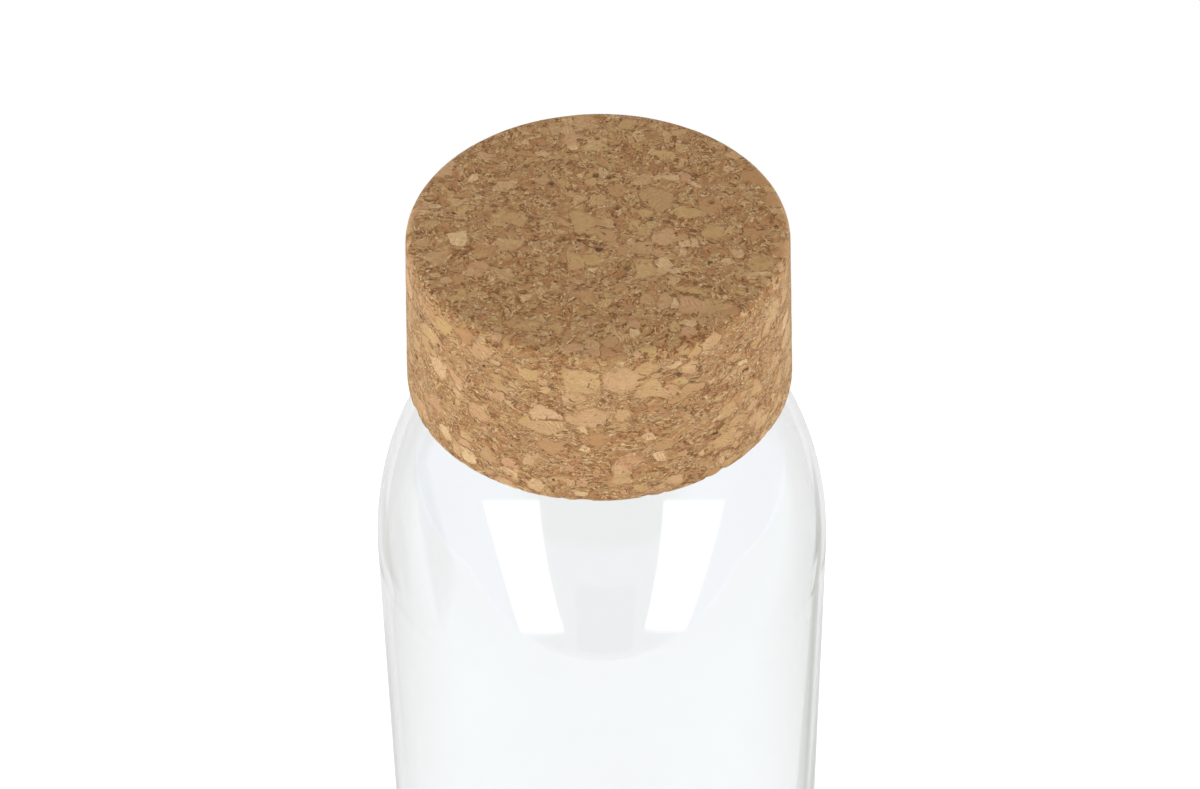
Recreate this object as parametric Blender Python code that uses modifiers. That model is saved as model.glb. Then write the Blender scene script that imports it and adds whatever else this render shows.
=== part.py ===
"""Glass bottle with a screw-on cork lid, at its real size in metres, +Z up.

The bottle stands on Z = 0 with its axis on the world's Z axis. The lid is a turned cup of
granulated cork with a threaded plastic insert bonded inside it and a silicone ring that seals
on the bottle's rim. The lid is modelled screwed down.
"""

import math

import bmesh
import bpy
from mathutils import Matrix, Vector

# Overall gaps and smoothness
GAP = 0.0003
TURN_STEPS = 48
RIDGE_POINTS_PER_TURN = 36

# Bottle
BOTTLE_HEIGHT = 0.2060
BODY_RADIUS = 0.0350
WALL = 0.0015
BASE_THICKNESS = 0.0030
PUNT_HEIGHT = 0.0030
HEEL_RADIUS = 0.0080
FOOT_RING_WIDTH = 0.0025
SHOULDER_RUN = 0.02295
SHOULDER_RISE = 0.0376

# Neck and its mouth
NECK_RADIUS = 0.0210
NECK_LENGTH = 0.0188
NECK_WALL = 0.0022
NECK_FILLET = 0.0020

# Thread, shared by the bottle's neck and the lid's insert
THREAD_LEAD = 0.0050
THREAD_PLAY = 0.0002
THREAD_CLEARANCE = 0.0004
RIDGE_SINK = 0.00015
THREAD_START = 0.0032
NECK_TURNS = 1.5
INSERT_TURNS = 1.5
RUN_OUT_TURNS = 0.14

# Seal gasket
GASKET_THICKNESS = 0.0018
GASKET_OVERHANG = 0.0014
GASKET_ROUND = 0.0003

# Threaded insert
INSERT_WALL = 0.0015
INSERT_ROOF = 0.0015
INSERT_RECESS = 0.0006
INSERT_ROUND = 0.0004

# Cork cap
CORK_WALL = 0.00455
CORK_ROOF = 0.0048
CORK_TAPER = 0.0010
CORK_TOP_ROUND = 0.0015
CORK_FOOT_ROUND = 0.0006
SKIRT_CLEARANCE = 0.0008

# Sizes that follow: the thread's ridge fills a quarter of the lead, less its play
RIDGE_RADIUS = (THREAD_LEAD - THREAD_PLAY) / 4
RIDGE_HEIGHT = RIDGE_RADIUS - RIDGE_SINK

# Sizes that follow: radii from the neck outwards
MOUTH_RADIUS = NECK_RADIUS - NECK_WALL
INSERT_BORE = NECK_RADIUS + RIDGE_HEIGHT + THREAD_CLEARANCE
INSERT_RADIUS = INSERT_BORE + INSERT_WALL
CORK_BORE = INSERT_RADIUS + GAP
CORK_FOOT_RADIUS = CORK_BORE + CORK_WALL
CORK_TOP_RADIUS = CORK_FOOT_RADIUS - CORK_TAPER
SHOULDER_CENTRE_RADIUS = BODY_RADIUS - SHOULDER_RUN

# Sizes that follow: heights from the table upwards
NECK_ROOT = BOTTLE_HEIGHT - NECK_LENGTH
GASKET_FOOT = BOTTLE_HEIGHT + GAP
INSERT_CEILING = GASKET_FOOT + GASKET_THICKNESS + GAP
INSERT_TOP = INSERT_CEILING + INSERT_ROOF
CORK_CEILING = INSERT_TOP + GAP
CORK_TOP = CORK_CEILING + CORK_ROOF
CORK_FOOT = NECK_ROOT + SKIRT_CLEARANCE
INSERT_FOOT = CORK_FOOT + INSERT_RECESS


def clear_scene():
    """Removes every object of the open scene."""
    for obj in list(bpy.data.objects):
        bpy.data.objects.remove(obj, do_unlink=True)


def new_collection(name):
    """Adds a collection to the scene."""
    collection = bpy.data.collections.new(name)
    bpy.context.scene.collection.children.link(collection)
    return collection


def new_material(name, colour, roughness, transmission=0.0, ior=1.45):
    """A Principled surface with one colour."""
    material = bpy.data.materials.new(name)
    material.use_nodes = True
    shader = material.node_tree.nodes["Principled BSDF"]
    shader.inputs["Base Color"].default_value = (*colour, 1.0)
    shader.inputs["Roughness"].default_value = roughness
    shader.inputs["Metallic"].default_value = 0.0
    shader.inputs["Transmission Weight"].default_value = transmission
    shader.inputs["IOR"].default_value = ior
    material.diffuse_color = (*colour, 1.0)
    return material


def arc(centre, radius, first, last, steps):
    """Points on a circle in the profile's plane, between two angles in degrees."""
    points = []
    for step in range(steps + 1):
        angle = math.radians(first + (last - first) * step / steps)
        points.append((centre[0] + radius * math.cos(angle), centre[1] + radius * math.sin(angle)))
    return points


def blend(start, corner, end, steps):
    """A smooth bend from start to end that leaves and meets its neighbours along the corner."""
    points = []
    for step in range(steps + 1):
        t = step / steps
        weights = ((1 - t) ** 2, 2 * t * (1 - t), t**2)
        points.append(
            tuple(sum(w * p[axis] for w, p in zip(weights, (start, corner, end))) for axis in (0, 1))
        )
    return points


def rounded(corners, steps=3):
    """A profile through corners (radius, z) or (radius, z, rounding), each rounding a true arc."""
    points = []
    for index, corner in enumerate(corners):
        here = Vector(corner[:2])
        if len(corner) == 2:
            points.append(tuple(here))
            continue
        back = (Vector(corners[index - 1][:2]) - here).normalized()
        ahead = (Vector(corners[(index + 1) % len(corners)][:2]) - here).normalized()
        half_angle = back.angle(ahead) / 2
        centre = here + (back + ahead).normalized() * corner[2] / math.sin(half_angle)
        start = here + back * corner[2] / math.tan(half_angle) - centre
        end = here + ahead * corner[2] / math.tan(half_angle) - centre
        sweep = math.atan2(start.x * end.y - start.y * end.x, start.dot(end))
        for step in range(steps + 1):
            turn = Matrix.Rotation(sweep * step / steps, 2)
            points.append(tuple(centre + turn @ start))
    return points


def turned(name, profile, collection, material, height=0.0, closed=False):
    """A solid turned about Z: the profile runs down its outer side, from axis to axis or as a loop."""
    edges = [(i, i + 1) for i in range(len(profile) - 1)]
    if closed:
        edges.append((len(profile) - 1, 0))
    mesh = bpy.data.meshes.new(name)
    mesh.from_pydata([(radius, 0.0, z - height) for radius, z in profile], edges, [])
    mesh.materials.append(material)
    obj = bpy.data.objects.new(name, mesh)
    obj.location.z = height
    collection.objects.link(obj)
    screw = obj.modifiers.new("Turn", "SCREW")
    screw.steps = TURN_STEPS
    screw.render_steps = TURN_STEPS
    screw.use_merge_vertices = True
    screw.merge_threshold = 0.00001
    screw.use_smooth_shade = True
    return obj


def run_out(turn, turns):
    """How far the ridge stands out along its length: 0 at both ends, 1 over most of it."""
    ends = min(turn, turns - turn) / RUN_OUT_TURNS
    ends = max(0.0, min(1.0, ends))
    return ends * ends * (3 - 2 * ends)


def thread_ridge(name, wall_radius, outwards, foot, turns, collection):
    """A right-hand helical ridge on a wall, whose ends thin out and sink into the wall.

    outwards is 1 for a ridge on the outside of a wall, and -1 for one inside a bore.
    """
    curve = bpy.data.curves.new(name, "CURVE")
    curve.dimensions = "3D"
    curve.bevel_depth = RIDGE_RADIUS
    curve.bevel_resolution = 2
    curve.use_fill_caps = True
    spline = curve.splines.new("POLY")
    count = round(turns * RIDGE_POINTS_PER_TURN)
    spline.points.add(count)
    for index, point in enumerate(spline.points):
        turn = turns * index / count
        stand = run_out(turn, turns)
        sink = RIDGE_SINK + (RIDGE_RADIUS / 2 - RIDGE_SINK) * (1 - stand)
        radius = wall_radius - outwards * sink
        angle = 2 * math.pi * turn
        height = foot + THREAD_LEAD * turn
        point.co = (radius * math.cos(angle), radius * math.sin(angle), height, 1.0)
        point.radius = 0.4 + 0.6 * stand
    guide = bpy.data.objects.new(name + "_path", curve)
    collection.objects.link(guide)
    ridge = curve_to_mesh(guide, name, collection)
    ridge.hide_render = True
    ridge.display_type = "WIRE"
    return ridge


def curve_to_mesh(guide, name, collection):
    """Turns a bevelled curve into a closed mesh in the same place and removes the curve."""
    bpy.context.view_layer.update()
    evaluated = guide.evaluated_get(bpy.context.evaluated_depsgraph_get())
    mesh = bpy.data.meshes.new_from_object(evaluated)
    build = bmesh.new()
    build.from_mesh(mesh)
    bmesh.ops.remove_doubles(build, verts=build.verts, dist=0.000001)
    bmesh.ops.recalc_face_normals(build, faces=build.faces)
    build.to_mesh(mesh)
    build.free()
    obj = bpy.data.objects.new(name, mesh)
    obj.matrix_world = guide.matrix_world
    collection.objects.link(obj)
    bpy.data.objects.remove(guide, do_unlink=True)
    return obj


def join(obj, ridge):
    """Unites a ridge with the wall that it stands on."""
    union = obj.modifiers.new("Join " + ridge.name, "BOOLEAN")
    union.operation = "UNION"
    union.object = ridge
    union.solver = "EXACT"


def even_shading(obj):
    """Keeps flat faces flat to the eye beside rounded edges."""
    shading = obj.modifiers.new("Even shading", "WEIGHTED_NORMAL")
    shading.weight = 80


def shoulder_point(angle, inset=0.0):
    """A point on the shoulder's quarter ellipse, or on its parallel curve inset by a wall."""
    base = NECK_ROOT - SHOULDER_RISE * math.sin(neck_angle())
    across, up = math.cos(angle), math.sin(angle)
    normal = Vector((across / SHOULDER_RUN, up / SHOULDER_RISE)).normalized()
    radius = SHOULDER_CENTRE_RADIUS + SHOULDER_RUN * across - inset * normal.x
    return radius, base + SHOULDER_RISE * up - inset * normal.y


def neck_angle():
    """The ellipse's angle at which the shoulder reaches the neck's outer wall."""
    return math.acos((NECK_RADIUS - SHOULDER_CENTRE_RADIUS) / SHOULDER_RUN)


def shoulder_angle(radius, inset):
    """The ellipse's angle at which the curve reaches a radius, found by halving."""
    low, high = 0.0, math.pi / 2
    for _ in range(40):
        middle = (low + high) / 2
        if shoulder_point(middle, inset)[0] > radius:
            low = middle
        else:
            high = middle
    return low


def shoulder(inset, neck_radius, steps):
    """The shoulder from the straight body up to its fillet, then the fillet up to the neck."""
    last = shoulder_angle(neck_radius + NECK_FILLET, inset)
    points = [shoulder_point(last * step / steps, inset) for step in range(steps + 1)]
    corner = (neck_radius, shoulder_point(shoulder_angle(neck_radius, inset), inset)[1])
    end = (neck_radius, corner[1] + NECK_FILLET)
    return points + blend(points[-1], corner, end, 3)[1:]


def punt(floor, radius, steps=5):
    """The base's smooth rise from a ring at a radius to its full height at the axis."""
    points = []
    for step in range(steps + 1):
        share = step / steps
        height = floor + PUNT_HEIGHT * (1 + math.cos(math.pi * share)) / 2
        points.append((radius * share, height))
    return points


def bottle_profile():
    """Up the inside from the floor's centre, over the lip, and down the outside to the axis."""
    inner_radius = BODY_RADIUS - WALL
    inner_heel = HEEL_RADIUS - WALL
    heel_centre = BODY_RADIUS - HEEL_RADIUS
    lip_radius = NECK_WALL / 2
    lip_centre = (MOUTH_RADIUS + lip_radius, BOTTLE_HEIGHT - lip_radius)
    inside = punt(BASE_THICKNESS, heel_centre)[:-1]
    inside += arc((inner_radius - inner_heel, BASE_THICKNESS + inner_heel), inner_heel, -90, 0, 5)
    inside += shoulder(WALL, MOUTH_RADIUS, 9)
    lip = arc(lip_centre, lip_radius, 180, 0, 6)
    outside = shoulder(0.0, NECK_RADIUS, 11)[::-1]
    outside += arc((heel_centre, HEEL_RADIUS), HEEL_RADIUS, 0, -90, 5)
    outside += punt(0.0, heel_centre - FOOT_RING_WIDTH)[::-1]
    return inside + lip + outside


def make_bottle(parts, cutters):
    """The blown bottle with its threaded neck."""
    glass = new_material("clear glass", (0.94, 0.97, 0.97), 0.02, transmission=1.0, ior=1.48)
    bottle = turned("glass_bottle", bottle_profile(), parts, glass)
    top = BOTTLE_HEIGHT - THREAD_START
    foot = top - NECK_TURNS * THREAD_LEAD
    join(bottle, thread_ridge("neck_thread", NECK_RADIUS, 1, foot, NECK_TURNS, cutters))
    even_shading(bottle)
    return top


def make_gasket(parts):
    """The silicone ring between the rim and the insert's ceiling."""
    silicone = new_material("silicone", (0.86, 0.86, 0.84), 0.45)
    inner, outer = MOUTH_RADIUS - GASKET_OVERHANG, INSERT_BORE - GAP
    low, high = GASKET_FOOT, GASKET_FOOT + GASKET_THICKNESS
    corners = [(inner, high), (outer, high), (outer, low), (inner, low)]
    profile = rounded([(*corner, GASKET_ROUND) for corner in corners], steps=1)
    even_shading(turned("seal_gasket", profile, parts, silicone, height=low, closed=True))


def thread_offset():
    """How far the lid's ridge lies below the neck's when the lid is drawn down.

    Both ridges are round tubes: their centres lie two radii and one gap apart.
    """
    across = INSERT_BORE - NECK_RADIUS + 2 * RIDGE_SINK
    return math.sqrt((2 * RIDGE_RADIUS + GAP) ** 2 - across**2)


def make_insert(parts, cutters, lid_axis, neck_thread_top):
    """The threaded plastic cup that is bonded into the cork."""
    plastic = new_material("insert plastic", (0.84, 0.84, 0.81), 0.42)
    profile = rounded(
        [
            (0.0, INSERT_TOP),
            (INSERT_RADIUS, INSERT_TOP, INSERT_ROUND),
            (INSERT_RADIUS, INSERT_FOOT, INSERT_ROUND),
            (INSERT_BORE, INSERT_FOOT, INSERT_ROUND),
            (INSERT_BORE, INSERT_CEILING),
            (0.0, INSERT_CEILING),
        ],
        steps=2,
    )
    insert = turned("threaded_insert", profile, parts, plastic, height=INSERT_FOOT)
    insert.parent = lid_axis
    foot = neck_thread_top - thread_offset() - INSERT_TURNS * THREAD_LEAD
    foot -= round(NECK_TURNS - INSERT_TURNS) * THREAD_LEAD
    join(insert, thread_ridge("insert_thread", INSERT_BORE, -1, foot, INSERT_TURNS, cutters))
    even_shading(insert)


def make_cork(parts, lid_axis):
    """The turned cup of granulated cork, slightly narrower at its top."""
    cork = new_material("granulated cork", (0.52, 0.36, 0.21), 0.85)
    profile = rounded(
        [
            (0.0, CORK_TOP),
            (CORK_TOP_RADIUS, CORK_TOP, CORK_TOP_ROUND),
            (CORK_FOOT_RADIUS, CORK_FOOT, CORK_FOOT_ROUND),
            (CORK_BORE, CORK_FOOT, CORK_FOOT_ROUND),
            (CORK_BORE, CORK_CEILING),
            (0.0, CORK_CEILING),
        ],
        steps=4,
    )
    cap = turned("cork_cap", profile, parts, cork, height=CORK_FOOT)
    cap.parent = lid_axis
    even_shading(cap)


def main():
    clear_scene()
    parts = new_collection("glass_bottle_with_cork_lid")
    cutters = new_collection("cutters")
    lid_axis = bpy.data.objects.new("lid_axis", None)
    lid_axis.empty_display_size = BODY_RADIUS
    parts.objects.link(lid_axis)
    neck_thread_top = make_bottle(parts, cutters)
    make_gasket(parts)
    make_insert(parts, cutters, lid_axis, neck_thread_top)
    make_cork(parts, lid_axis)


main()
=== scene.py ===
"""A clear glass bottle with a screw-on lid of granulated cork, dressed for its photograph.

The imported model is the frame: each piece made here takes the place of one of its nodes and rides
on that node's body. Lengths are in metres, Z is up, and the bottle's axis is the Z axis.
"""

import itertools
import math

import bpy
import numpy as np
from bpy.props import FloatProperty, FloatVectorProperty, IntProperty, PointerProperty
from mathutils import Matrix, Vector


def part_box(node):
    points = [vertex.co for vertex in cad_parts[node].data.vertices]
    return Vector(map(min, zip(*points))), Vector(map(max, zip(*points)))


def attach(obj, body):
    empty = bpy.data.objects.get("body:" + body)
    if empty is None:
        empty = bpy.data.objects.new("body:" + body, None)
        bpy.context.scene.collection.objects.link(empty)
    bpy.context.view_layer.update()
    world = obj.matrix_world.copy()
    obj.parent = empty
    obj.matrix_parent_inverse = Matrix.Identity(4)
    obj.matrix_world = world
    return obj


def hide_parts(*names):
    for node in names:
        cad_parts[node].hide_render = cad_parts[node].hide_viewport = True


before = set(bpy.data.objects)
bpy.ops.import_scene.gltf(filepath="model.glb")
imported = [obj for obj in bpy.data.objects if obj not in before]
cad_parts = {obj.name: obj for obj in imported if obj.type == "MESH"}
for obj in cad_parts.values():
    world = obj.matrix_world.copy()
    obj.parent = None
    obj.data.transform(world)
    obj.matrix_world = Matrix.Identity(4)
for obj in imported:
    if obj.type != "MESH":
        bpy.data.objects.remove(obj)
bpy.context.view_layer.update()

bl_info = {
    "name": "Cork-lidded glass bottle",
    "version": (1, 0, 0),
    "blender": (4, 5, 0),
    "location": "View3D > Sidebar > Bottle",
    "description": "Builds a clear glass bottle, its granulated cork lid and a soft studio stage",
    "category": "Object",
}

BOTTLE_BOX, CORK_BOX, INSERT_BOX, SEAL_BOX = (
    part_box(node) for node in ("glass_bottle", "cork_cap", "threaded_insert", "seal_gasket")
)
PHOTO_WIDTH = 1200
# Distances under which two points, or two radii, are taken as the same
SAME_POINT, SAME_RADIUS = 1e-7, 1e-6
# Faces that meet at a greater angle, in degrees, are shaded with an edge between them
SHARP_ANGLE = 50.0
WHITE = (1.0, 1.0, 1.0)


# Shapes: profiles are arrays of (radius, height) rows, in metres


def arc(centre, radius, first, last, count):
    """Points on a circle: centre plus radius times (cosine, sine) of even angles, first to last degrees."""
    angle = np.radians(np.linspace(first, last, count))
    return np.stack([centre[0] + radius * np.cos(angle), centre[1] + radius * np.sin(angle)], axis=1)


def line(start, end, count):
    """Even points from start to end: start plus a share, from 0 to 1, of end less start."""
    share = np.linspace(0.0, 1.0, count)[:, None]
    return np.asarray(start) + share * (np.asarray(end) - np.asarray(start))


def bend(start, corner, end, count):
    """A quadratic curve that leaves start towards corner and reaches end from it."""
    share = np.linspace(0.0, 1.0, count)[:, None]
    start, corner, end = (np.asarray(point, float) for point in (start, corner, end))
    return (1 - share) ** 2 * start + 2 * share * (1 - share) * corner + share**2 * end


def joined(*parts):
    """The parts' points one after another, where a point that repeats the last one is left out."""
    points = np.concatenate(parts)
    moved = np.linalg.norm(np.diff(points, axis=0), axis=1) > SAME_POINT
    return points[np.concatenate([[True], moved])]


def outward(profile):
    """The profile's unit normals: its smoothed direction turned a quarter turn to its left."""
    along = np.gradient(profile, axis=0)
    along /= np.linalg.norm(along, axis=1, keepdims=True)
    return np.stack([-along[:, 1], along[:, 0]], axis=1)


def spun(profile, columns):
    """Grids of radius and height: a row for each profile point, the same in every column."""
    return [np.repeat(profile[:, axis, None], columns, axis=1) for axis in (0, 1)]


def placed(radius, height):
    """Points (radius times cosine, radius times sine, height) of each column's even angle."""
    angle = np.linspace(0.0, 2 * np.pi, radius.shape[1], endpoint=False)
    return np.stack([radius * np.cos(angle), radius * np.sin(angle), height], axis=-1)


def turned(name, radius, height, material, closed=False):
    """A surface of revolution from grids of radius and height, and which grid points it uses.

    The profile runs down the outer side. A row at the axis becomes one pole, with a fan of
    triangles. A closed profile's last row joins its first.
    """
    rows, columns = radius.shape
    number = np.arange(rows * columns).reshape(rows, columns)
    at_axis = [not closed and bool(radius[row].max() < SAME_RADIUS) for row in (0, -1)]
    body = number[1 if at_axis[0] else 0 : rows - 1 if at_axis[1] else rows]
    if closed:
        body = np.concatenate([body, body[:1]])
    upper, lower = body[:-1], body[1:]
    quads = np.stack([upper, lower, np.roll(lower, -1, 1), np.roll(upper, -1, 1)], axis=-1)
    corners, lengths = [quads.reshape(-1)], [np.full(quads.shape[0] * columns, 4)]
    for row, has_pole in zip((0, -1), at_axis):
        if has_pole:
            pole, ring = np.full(columns, number[row, 0]), body[row]
            fan = [pole, ring] if row == 0 else [ring, pole]
            corners.append(np.stack([*fan, np.roll(ring, -1)], axis=-1).reshape(-1))
            lengths.append(np.full(columns, 3))
    corners, lengths = np.concatenate(corners), np.concatenate(lengths)
    used, corners = np.unique(corners, return_inverse=True)
    points = placed(radius, height).reshape(-1, 3)[used]
    return surface(name, points, corners, lengths, material, SHARP_ANGLE), used


def linked(name, data):
    """A new object in the scene's own collection."""
    obj = bpy.data.objects.new(name, data)
    bpy.context.scene.collection.objects.link(obj)
    return obj


def surface(name, points, corners, lengths, material, sharp=180.0):
    """An object at the origin from vertex places and the faces' corner numbers, laid end to end."""
    mesh = bpy.data.meshes.new(name)
    mesh.vertices.add(len(points))
    mesh.vertices.foreach_set("co", np.asarray(points, np.float32).reshape(-1))
    mesh.loops.add(len(corners))
    mesh.loops.foreach_set("vertex_index", np.asarray(corners, np.int32).reshape(-1))
    mesh.polygons.add(len(lengths))
    starts = np.concatenate([[0], np.cumsum(lengths)[:-1]])
    mesh.polygons.foreach_set("loop_start", starts.astype(np.int32))
    mesh.update(calc_edges=True)
    mesh.validate()
    mesh.shade_smooth()
    if sharp < 180.0:
        mesh.set_sharp_from_angle(angle=math.radians(sharp))
    mesh.materials.append(material)
    return linked(name, mesh)


# Unevenness: lattices of seeded random numbers, read at any point


def hashed(corner, seed):
    """Three numbers from 0 to 1 for each lattice corner: its whole numbers times primes, then mixed."""
    key = corner[..., 0] * 73856093 ^ corner[..., 1] * 19349663 ^ corner[..., 2] * 83492791
    key = (key ^ (seed * 9781)).astype(np.uint64)
    numbers = []
    for prime in (0x9E3779B97F4A7C15, 0xC2B2AE3D27D4EB4F, 0x165667B19E3779F9):
        mixed = key * np.uint64(prime)
        mixed ^= mixed >> np.uint64(29)
        mixed *= np.uint64(0xBF58476D1CE4E5B9)
        mixed ^= mixed >> np.uint64(32)
        numbers.append((mixed & np.uint64(0xFFFFFF)) / float(0x1000000))
    return np.stack(numbers, axis=-1)


def swell(points, size, seed):
    """Smooth noise from 0 to 1: the random numbers of a point's eight corners, eased between them."""
    place = points / size
    corner = np.floor(place).astype(np.int64)
    share = place - corner
    share = share * share * (3 - 2 * share)
    total = np.zeros(points.shape[:-1])
    for step in itertools.product((0, 1), repeat=3):
        weight = np.prod(np.where(step, share, 1 - share), axis=-1)
        total += weight * hashed(corner + np.array(step), seed)[..., 0]
    return total


def grains(points, size, seed):
    """Each point's distance to the nearest of the lattice's scattered seeds, over size, and its number."""
    place = points / size
    corner = np.floor(place).astype(np.int64)
    nearest = np.full(points.shape[:-1], np.inf)
    number = np.zeros(points.shape[:-1])
    for step in itertools.product((-1, 0, 1), repeat=3):
        cell = corner + np.array(step)
        random = hashed(cell, seed)
        distance = np.linalg.norm(place - cell - random, axis=-1)
        closer = distance < nearest
        nearest = np.where(closer, distance, nearest)
        number = np.where(closer, hashed(cell, seed + 7)[..., 1], number)
    return nearest, number


def eased(value, low, high):
    """0 at low and 1 at high, with a smooth rise between them; low may be the larger."""
    share = np.clip((value - low) / (high - low), 0.0, 1.0)
    return share * share * (3 - 2 * share)


# Shading: arithmetic on a Wire adds Math nodes, and a Maker adds every other node


def maths(operation, swapped=False):
    """A method that adds a Math node for a Wire and the other value, the other first if swapped."""

    def method(wire, *others):
        values = (*others, wire) if swapped else (wire, *others)
        return wire.maker.add("Math", values, operation=operation)["Value"]

    return method


class Wire:
    """A value that varies over a surface, as an output of its material's nodes."""

    __add__, __radd__ = maths("ADD"), maths("ADD", swapped=True)
    __sub__, __rsub__ = maths("SUBTRACT"), maths("SUBTRACT", swapped=True)
    __mul__, __rmul__ = maths("MULTIPLY"), maths("MULTIPLY", swapped=True)
    __truediv__ = maths("DIVIDE")
    __lt__, __gt__ = maths("LESS_THAN"), maths("GREATER_THAN")
    size, sine = maths("ABSOLUTE"), maths("SINE")
    most, least = maths("MAXIMUM"), maths("MINIMUM")

    def __init__(self, maker, socket):
        self.maker, self.socket = maker, socket

    def rise(self, low, high):
        """0 at low and 1 at high, with a smooth rise between them; low may be the larger."""
        values = {"Value": self, "From Min": low, "From Max": high}
        return self.maker.add("MapRange", values, interpolation_type="SMOOTHSTEP")["Result"]


class Maker:
    """Builds one node tree: a material's or the world's."""

    def __init__(self, owner):
        self.owner, self.tree = owner, owner.node_tree
        self.tree.nodes.clear()

    def add(self, kind, values=(), **settings):
        """Adds a node of a type, makes its settings, then fills its sockets by name or by order.

        The type is written without its first part, ShaderNode. A ramp's setting stops is a list of
        (place, colour) pairs.
        """
        node = self.tree.nodes.new(f"ShaderNode{kind}")
        for name, setting in settings.items():
            if name == "stops":
                self.stop(node.color_ramp, setting)
            else:
                setattr(node, name, setting)
        sockets = [socket for socket in node.inputs if socket.enabled]
        for key, value in values.items() if isinstance(values, dict) else enumerate(values):
            if isinstance(key, int):
                socket = sockets[key]
            else:
                socket = next(socket for socket in sockets if socket.name == key)
            if isinstance(value, Wire):
                self.tree.links.new(value.socket, socket)
            else:
                socket.default_value = value
        return {socket.name: Wire(self, socket) for socket in node.outputs if socket.enabled}

    @staticmethod
    def stop(ramp, stops):
        """Sets a ramp's colours from (place, colour) pairs."""
        while len(ramp.elements) < len(stops):
            ramp.elements.new(0.5)
        for element, (place, colour) in zip(ramp.elements, stops):
            element.position, element.color = place, opaque(colour)

    def place(self):
        """The point of the surface in its object's own coordinates."""
        return self.add("TexCoord")["Object"]

    def vector(self, operation, *values):
        """The vector that a Vector Math operation makes of the values."""
        return self.add("VectorMath", values, operation=operation)["Vector"]

    def dot(self, one, other):
        """The sum of one's numbers, each times the other's."""
        return self.add("VectorMath", [one, other], operation="DOT_PRODUCT")["Value"]

    def mix(self, share, one, other):
        """A colour from one to other by a share; either colour may be a Wire or three numbers."""
        return self.add("Mix", [share, opaque(one), opaque(other)], data_type="RGBA")["Result"]

    def noise(self, where, size, detail=2.0, roughness=0.5):
        """Noise whose waves are about size metres long."""
        values = {"Vector": where, "Scale": 1 / size, "Detail": detail, "Roughness": roughness}
        return self.add("TexNoise", values)

    def voronoi(self, where, size, feature="F1"):
        """Cells about size metres across."""
        return self.add("TexVoronoi", {"Vector": where, "Scale": 1 / size}, feature=feature)

    def walls(self, where, size):
        """The distance to the nearest wall between cells about size metres across, over size."""
        return self.voronoi(where, size, "DISTANCE_TO_EDGE")["Distance"]

    def bump(self, height, distance):
        """A normal from a height, where a height of 1 stands distance metres proud."""
        return self.add("Bump", {"Distance": distance, "Height": height})["Normal"]

    def glow(self, colour):
        """A light of one colour, a Wire or three numbers."""
        return self.add("Emission", {"Color": opaque(colour)})["Emission"]

    def output(self, surface, **others):
        """Adds the material's output, and returns the material."""
        self.add("OutputMaterial", {"Surface": surface, **others})
        return self.owner

    def shader(self, **values):
        """A Principled surface; names are the sockets' own, with _ for a space."""
        named = {name.replace("_", " "): value for name, value in values.items()}
        return self.add("BsdfPrincipled", named)["BSDF"]


def opaque(colour):
    """A colour as a socket takes it: a Wire as it is, and three numbers with a fourth, 1."""
    return colour if isinstance(colour, Wire) else (*colour, 1.0)


def scaled(colour, *factors):
    """The colour times a factor for each channel, or times one factor for all."""
    return tuple(channel * factor for channel, factor in zip(colour, factors * (3 // len(factors))))


def painted(name, colour):
    """The maker of a new material, which has this colour in a plain view."""
    material = bpy.data.materials.new(name)
    material.use_nodes = True
    material.diffuse_color = opaque(colour)
    return Maker(material)


# Settings that a user may change, in the looks below


def metres(name, description, default):
    """A length."""
    return FloatProperty(name=name, description=description, default=default, unit="LENGTH")


def degrees(name, description, default):
    """An angle, given in degrees and kept in radians."""
    angle = math.radians(default)
    return FloatProperty(name=name, description=description, default=angle, subtype="ANGLE")


def amount(name, description, default):
    """A number without a unit that Blender knows."""
    return FloatProperty(name=name, description=description, default=default)


def paint(name, description, default):
    """A colour."""
    return FloatVectorProperty(name=name, description=description, default=default, subtype="COLOR")


# Glass


class GlassLook(bpy.types.PropertyGroup):
    """Sizes of the blown bottle and the colour of its glass."""

    wall: metres("Wall", "Thickness of the body's wall", 0.0015)
    base: metres("Base", "Thickness of the base", 0.0030)
    punt: metres("Punt", "Rise of the base at its middle", 0.0030)
    heel: metres("Heel", "Rounding at the foot of the body", 0.0080)
    foot_ring: metres("Foot ring", "Width of the flat ring underneath", 0.0025)
    shoulder_run: metres("Shoulder run", "Half width of the shoulder's ellipse", 0.02295)
    shoulder_rise: metres("Shoulder rise", "Height of the shoulder's ellipse", 0.0376)
    neck_radius: metres("Neck radius", "Outside of the neck", 0.0210)
    neck_length: metres("Neck length", "From the shoulder to the rim", 0.0188)
    neck_wall: metres("Neck wall", "Thickness of the neck's wall", 0.0022)
    fillet: metres("Neck fillet", "Bend from the shoulder to the neck", 0.0020)
    columns: IntProperty(name="Columns", description="Faces round the bottle", default=256, min=48)
    tint: paint("Tint", "Colour left by two of its surfaces", (0.922, 0.928, 0.922))
    # The rim tint is painted shade: the glass turns towards it where it is seen edge on, as dark surroundings
    # refracted at its edges would darken it
    rim: paint("Rim tint", "Colour left by two surfaces seen edge on", (0.770, 0.776, 0.772))
    depth: paint("Depth colour", "Colour that a long way through it takes", (0.80, 0.86, 0.80))
    density: amount("Density", "How fast the depth colour builds up, per metre", 5.0)


class ThreadLook(bpy.types.PropertyGroup):
    """The screw thread that the neck and the lid's insert share."""

    lead: metres("Lead", "Rise in one turn", 0.0050)
    turns: amount("Turns", "Length of each ridge in turns", 1.5)
    tube: metres("Ridge radius", "Radius of the round ridge", 0.0012)
    sink: metres("Sink", "How far the ridge's centre lies in its wall", 0.00015)
    end: amount("Run-out", "Turns over which an end thins out", 0.14)
    neck_foot: metres("Neck ridge foot", "Height at which the neck's ridge starts", 0.1953)
    drop: metres("Drop", "How far the insert's ridge lies below the neck's", 0.002056)


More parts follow.
